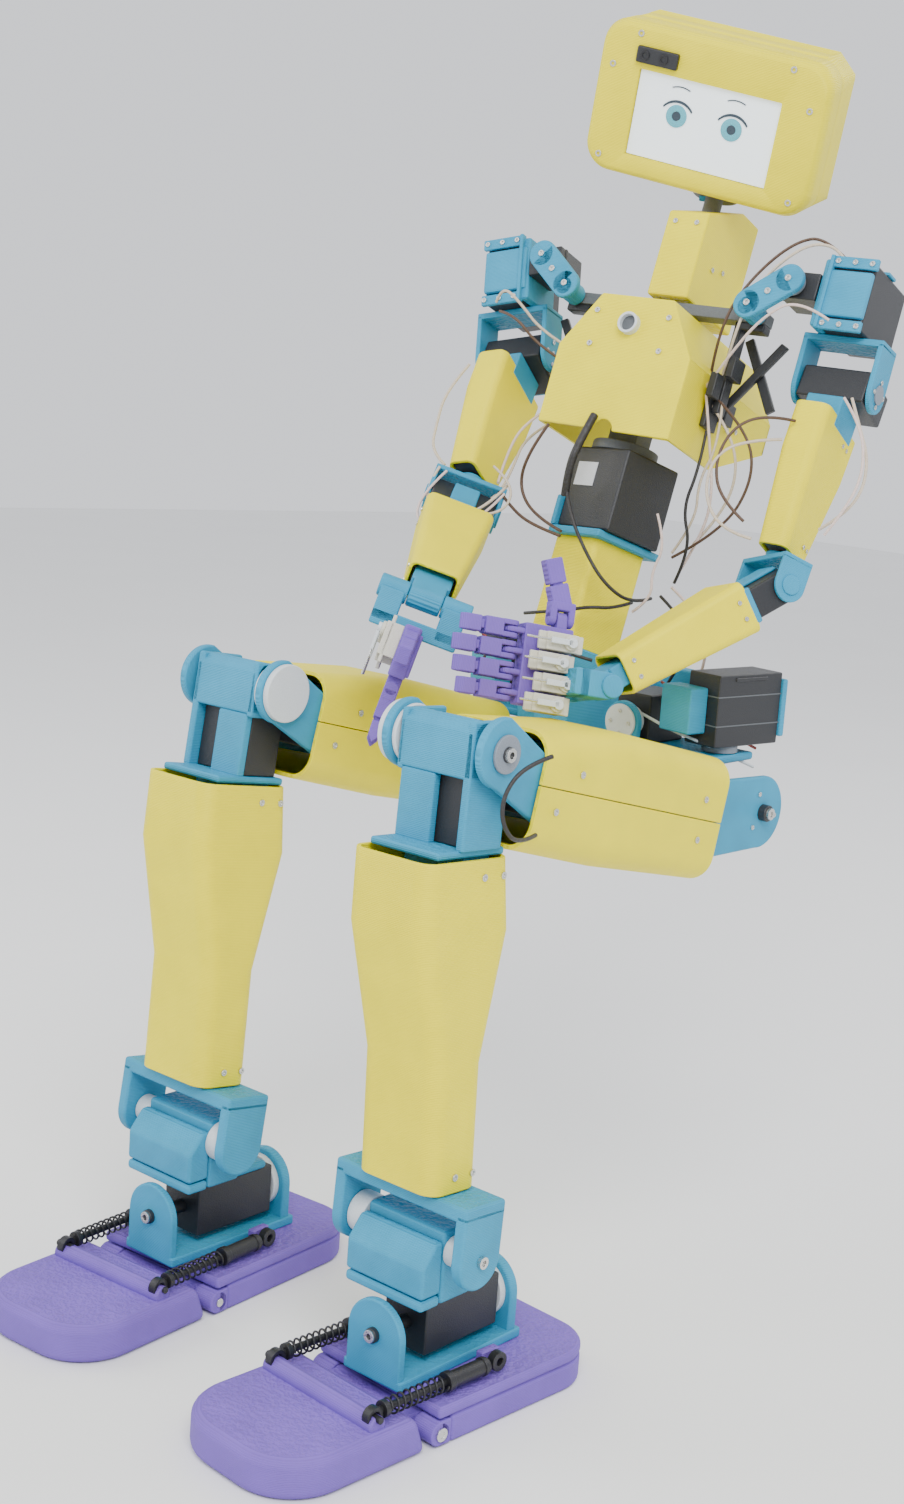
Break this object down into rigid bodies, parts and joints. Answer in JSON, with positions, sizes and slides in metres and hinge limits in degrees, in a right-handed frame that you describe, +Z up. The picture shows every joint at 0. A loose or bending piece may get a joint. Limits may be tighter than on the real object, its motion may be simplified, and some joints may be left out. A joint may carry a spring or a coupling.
{
  "type": "humanoid robot kit",
  "caption": "Seated humanoid robot kit with printed covers, servo joints, a display for a face, jointed hands and sprung toes.",
  "frame": {"origin": "middle of the flat underside of the seat plate", "axes": "+Z up, the robot faces -Y, its left side is +X"},
  "size_m": [0.41, 0.6201, 0.9426],
  "materials": {
    "green_cover": "layered print",
    "blue_bracket": "layered print",
    "grey_bracket": "satin",
    "dark_servo": "satin",
    "purple_print": "layered print",
    "strut_metal": "satin",
    "display_glass": "gloss"
  },
  "bodies": {
    "pelvis": {"pelvis_frame": "blue_bracket", "waist_servo": "dark_servo", "abdomen_cover": "green_cover"},
    "torso": {"spine_frame": "blue_bracket", "chest_cover": "green_cover", "neck_cover": "green_cover", "chest_sensor": "dark_servo"},
    "neck": {"neck_bracket": "blue_bracket"},
    "head": {"head_front_cover": "green_cover", "head_rear_cover": "green_cover", "face_display": "display_glass", "head_camera": "dark_servo"},
    "left_shoulder": {"left_shoulder_block": "blue_bracket"},
    "left_upper_arm": {"left_upper_arm_frame": "grey_bracket", "left_upper_arm_cover": "green_cover"},
    "left_elbow": {"left_elbow_fork": "grey_bracket"},
    "left_forearm": {"left_forearm_frame": "grey_bracket", "left_forearm_cover": "green_cover"},
    "left_hand": {"left_palm": "purple_print"},
    "left_little_finger": {"left_little_finger": "purple_print"},
    "left_ring_finger": {"left_ring_finger": "purple_print"},
    "left_middle_finger": {"left_middle_finger": "purple_print"},
    "left_index_finger": {"left_index_finger": "purple_print"},
    "left_thumb": {"left_thumb": "purple_print"},
    "left_hip_turn": {"left_hip_turn_link": "blue_bracket"},
    "left_hip_roll": {"left_hip_block": "blue_bracket"},
    "left_thigh": {"left_thigh_frame": "blue_bracket", "left_thigh_cover": "green_cover"},
    "left_shin": {"left_shin_frame": "blue_bracket", "left_shin_cover": "green_cover"},
    "left_ankle": {"left_ankle_block": "blue_bracket"},
    "left_foot": {"left_foot_bracket": "blue_bracket", "left_foot_sole": "purple_print"},
    "left_toe": {"left_toe_plate": "purple_print"},
    "left_strut_body": {"left_shock_bodies": "strut_metal"},
    "left_strut_rod": {"left_shock_rods": "strut_metal"},
    "right_shoulder": {"right_shoulder_block": "blue_bracket"},
    "right_upper_arm": {"right_upper_arm_frame": "grey_bracket", "right_upper_arm_cover": "green_cover"},
    "right_elbow": {"right_elbow_fork": "grey_bracket"},
    "right_forearm": {"right_forearm_frame": "grey_bracket", "right_forearm_cover": "green_cover"},
    "right_hand": {"right_palm": "purple_print"},
    "right_little_finger": {"right_little_finger": "purple_print"},
    "right_ring_finger": {"right_ring_finger": "purple_print"},
    "right_middle_finger": {"right_middle_finger": "purple_print"},
    "right_index_finger": {"right_index_finger": "purple_print"},
    "right_thumb": {"right_thumb": "purple_print"},
    "right_hip_turn": {"right_hip_turn_link": "blue_bracket"},
    "right_hip_roll": {"right_hip_block": "blue_bracket"},
    "right_thigh": {"right_thigh_frame": "blue_bracket", "right_thigh_cover": "green_cover"},
    "right_shin": {"right_shin_frame": "blue_bracket", "right_shin_cover": "green_cover"},
    "right_ankle": {"right_ankle_block": "blue_bracket"},
    "right_foot": {"right_foot_bracket": "blue_bracket", "right_foot_sole": "purple_print"},
    "right_toe": {"right_toe_plate": "purple_print"},
    "right_strut_body": {"right_shock_bodies": "strut_metal"},
    "right_strut_rod": {"right_shock_rods": "strut_metal"}
  },
  "joints": [
    {"name": "waist_turn", "type": "hinge", "parent": "pelvis", "child": "torso", "pos_m": [-0.0067, -0.00047, 0.28529], "axis": [-0.0337, 0.2947, 0.955], "range_deg": [-3, 4]},
    {"name": "neck_pan", "type": "hinge", "parent": "torso", "child": "neck", "pos_m": [-0.02113, 0.08229, 0.46238], "axis": [-0.0337, 0.2947, 0.955], "range_deg": [-25, 25]},
    {"name": "neck_tilt", "type": "hinge", "parent": "neck", "child": "head", "pos_m": [-0.02267, 0.08719, 0.52075], "axis": [0.9022, 0.4201, -0.0978], "range_deg": [-25, 8]},
    {"name": "left_shoulder_swing", "type": "hinge", "parent": "torso", "child": "left_shoulder", "pos_m": [0.09288, 0.0546, 0.41631], "axis": [0.2819, -0.9139, 0.292], "range_deg": [-1, 4]},
    {"name": "left_shoulder_lift", "type": "hinge", "parent": "left_shoulder", "child": "left_upper_arm", "pos_m": [0.12335, 0.07985, 0.34264], "axis": [0.9588, 0.2796, -0.0506], "range_deg": [-60, 1]},
    {"name": "left_arm_twist", "type": "hinge", "parent": "left_upper_arm", "child": "left_elbow", "pos_m": [0.134, 0.02155, 0.22246], "axis": [-0.0795, 0.4351, 0.8969], "range_deg": [-4, 25]},
    {"name": "left_elbow_bend", "type": "hinge", "parent": "left_elbow", "child": "left_forearm", "pos_m": [0.13583, 0.01155, 0.20183], "axis": [0.939, -0.2694, 0.2139], "range_deg": [-50, 1]},
    {"name": "left_wrist_bend", "type": "hinge", "parent": "left_forearm", "child": "left_hand", "pos_m": [0.11073, -0.13066, 0.13294], "axis": [0.939, -0.2694, 0.2139], "range_deg": [-35, 3]},
    {"name": "left_little_finger_curl", "type": "hinge", "parent": "left_hand", "child": "left_little_finger", "pos_m": [0.09319, -0.19334, 0.13097], "axis": [0.1608, -0.2061, -0.9652], "range_deg": [-5, 30]},
    {"name": "left_ring_finger_curl", "type": "hinge", "parent": "left_hand", "child": "left_ring_finger", "pos_m": [0.09094, -0.19046, 0.14448], "axis": [0.1608, -0.2061, -0.9652], "range_deg": [-5, 30]},
    {"name": "left_middle_finger_curl", "type": "hinge", "parent": "left_hand", "child": "left_middle_finger", "pos_m": [0.08869, -0.18757, 0.15799], "axis": [0.1608, -0.2061, -0.9652], "range_deg": [-5, 30]},
    {"name": "left_index_finger_curl", "type": "hinge", "parent": "left_hand", "child": "left_index_finger", "pos_m": [0.08644, -0.18468, 0.17151], "axis": [0.1608, -0.2061, -0.9652], "range_deg": [-5, 30]},
    {"name": "left_thumb_curl", "type": "hinge", "parent": "left_hand", "child": "left_thumb", "pos_m": [0.09515, -0.14929, 0.17783], "axis": [-0.3041, -0.9407, 0.1502], "range_deg": [-5, 30]},
    {"name": "left_hip_turn", "type": "hinge", "parent": "pelvis", "child": "left_hip_turn", "pos_m": [0.1143, 0, 0.0815], "axis": [0, 0, 1], "range_deg": [-4, 6]},
    {"name": "left_hip_roll", "type": "hinge", "parent": "left_hip_turn", "child": "left_hip_roll", "pos_m": [0.06312, -0.04226, 0.0975], "axis": [0.1518, -0.9884, 0], "range_deg": [-2, 8]},
    {"name": "left_hip_pitch", "type": "hinge", "parent": "left_hip_roll", "child": "left_thigh", "pos_m": [0.1143, 0, 0.0445], "axis": [0.9884, 0.1518, 0], "range_deg": [-1, 100]},
    {"name": "left_knee_bend", "type": "hinge", "parent": "left_thigh", "child": "left_shin", "pos_m": [0.1587, -0.28917, 0.11528], "axis": [0.9884, 0.1518, 0], "range_deg": [-95, 4]},
    {"name": "left_ankle_pitch", "type": "hinge", "parent": "left_shin", "child": "left_ankle", "pos_m": [0.15944, -0.29394, -0.202], "axis": [0.9884, 0.1518, 0], "range_deg": [-25, 20]},
    {"name": "left_ankle_roll", "type": "hinge", "parent": "left_ankle", "child": "left_foot", "pos_m": [0.15777, -0.28307, -0.26099], "axis": [-0.1518, 0.9884, 0], "range_deg": [-12, 12]},
    {"name": "left_toe_lift", "type": "hinge", "parent": "left_foot", "child": "left_toe", "pos_m": [0.16052, -0.31495, -0.309], "axis": [0.9963, 0.0859, 0], "range_deg": [-18, 0], "stiffness_Nm_per_rad": 3},
    {"name": "left_strut_tilt", "type": "hinge", "parent": "left_foot", "child": "left_strut_body", "pos_m": [0.15545, -0.25617, -0.28299], "axis": [0.9963, 0.0859, 0], "range_deg": [-8.1, 0]},
    {"name": "left_strut_slide", "type": "slide", "parent": "left_strut_body", "child": "left_strut_rod", "axis": [0.0859, -0.9963, 0], "range_m": [-0.0094, 0]},
    {"name": "right_shoulder_swing", "type": "hinge", "parent": "torso", "child": "right_shoulder", "pos_m": [-0.10655, -0.00345, 0.42718], "axis": [-0.2819, 0.9139, -0.292], "range_deg": [-1, 1.5]},
    {"name": "right_shoulder_lift", "type": "hinge", "parent": "right_shoulder", "child": "right_upper_arm", "pos_m": [-0.13702, 0.00172, 0.34948], "axis": [0.9236, 0.3409, 0.1754], "range_deg": [-50, 1]},
    {"name": "right_arm_twist", "type": "hinge", "parent": "right_upper_arm", "child": "right_elbow", "pos_m": [-0.08901, -0.07933, 0.25419], "axis": [0.3583, -0.6049, -0.7111], "range_deg": [-3, 2]},
    {"name": "right_elbow_bend", "type": "hinge", "parent": "right_elbow", "child": "right_forearm", "pos_m": [-0.08077, -0.09325, 0.23783], "axis": [0.6379, 0.7148, -0.2866], "range_deg": [-30, 1]},
    {"name": "right_wrist_bend", "type": "hinge", "parent": "right_forearm", "child": "right_hand", "pos_m": [0.01946, -0.20494, 0.18234], "axis": [0.6379, 0.7148, -0.2866], "range_deg": [-40, 3]},
    {"name": "right_little_finger_curl", "type": "hinge", "parent": "right_hand", "child": "right_little_finger", "pos_m": [0.00547, -0.21746, 0.11999], "axis": [0.7665, -0.6254, 0.1461], "range_deg": [-5, 30]},
    {"name": "right_ring_finger_curl", "type": "hinge", "parent": "right_hand", "child": "right_ring_finger", "pos_m": [0.01621, -0.22621, 0.12203], "axis": [0.7665, -0.6254, 0.1461], "range_deg": [-5, 30]},
    {"name": "right_middle_finger_curl", "type": "hinge", "parent": "right_hand", "child": "right_middle_finger", "pos_m": [0.02694, -0.23497, 0.12408], "axis": [0.7665, -0.6254, 0.1461], "range_deg": [-5, 30]},
    {"name": "right_index_finger_curl", "type": "hinge", "parent": "right_hand", "child": "right_index_finger", "pos_m": [0.03767, -0.24373, 0.12612], "axis": [0.7665, -0.6254, 0.1461], "range_deg": [-5, 30]},
    {"name": "right_thumb_curl", "type": "hinge", "parent": "right_hand", "child": "right_thumb", "pos_m": [0.04948, -0.24028, 0.16102], "axis": [0.0748, 0.3129, 0.9468], "range_deg": [-5, 30]},
    {"name": "right_hip_turn", "type": "hinge", "parent": "pelvis", "child": "right_hip_turn", "pos_m": [-0.1143, 0, 0.0815], "axis": [0, 0, -1], "range_deg": [-2, 6]},
    {"name": "right_hip_roll", "type": "hinge", "parent": "right_hip_turn", "child": "right_hip_roll", "pos_m": [-0.0528, -0.02496, 0.0975], "axis": [-0.1518, 0.9884, 0], "range_deg": [-2, 8]},
    {"name": "right_hip_pitch", "type": "hinge", "parent": "right_hip_roll", "child": "right_thigh", "pos_m": [-0.1143, 0, 0.0445], "axis": [0.9884, 0.1518, 0], "range_deg": [-3, 100]},
    {"name": "right_knee_bend", "type": "hinge", "parent": "right_thigh", "child": "right_shin", "pos_m": [-0.06985, -0.2895, 0.1139], "axis": [0.9884, 0.1518, 0], "range_deg": [-95, 4]},
    {"name": "right_ankle_pitch", "type": "hinge", "parent": "right_shin", "child": "right_ankle", "pos_m": [-0.06525, -0.3194, -0.20197], "axis": [0.9884, 0.1518, 0], "range_deg": [-25, 20]},
    {"name": "right_ankle_roll", "type": "hinge", "parent": "right_ankle", "child": "right_foot", "pos_m": [-0.06692, -0.30853, -0.26097], "axis": [0.1518, -0.9884, 0], "range_deg": [-12, 12]},
    {"name": "right_toe_lift", "type": "hinge", "parent": "right_foot", "child": "right_toe", "pos_m": [-0.05998, -0.33977, -0.30896], "axis": [0.9762, 0.217, 0], "range_deg": [-18, 0], "stiffness_Nm_per_rad": 3},
    {"name": "right_strut_tilt", "type": "hinge", "parent": "right_foot", "child": "right_strut_body", "pos_m": [-0.07278, -0.28217, -0.28297], "axis": [0.9762, 0.217, 0], "range_deg": [-8.1, 0]},
    {"name": "right_strut_slide", "type": "slide", "parent": "right_strut_body", "child": "right_strut_rod", "axis": [0.217, -0.9762, 0], "range_m": [-0.0094, 0]}
  ],
  "couplings": [
    {"joint": "left_strut_tilt", "follows": "left_toe_lift", "ratio": 0.444},
    {"joint": "left_strut_slide", "follows": "left_toe_lift", "m_per_rad": 0.0295},
    {"joint": "right_strut_tilt", "follows": "right_toe_lift", "ratio": 0.444},
    {"joint": "right_strut_slide", "follows": "right_toe_lift", "m_per_rad": 0.0295}
  ]
}
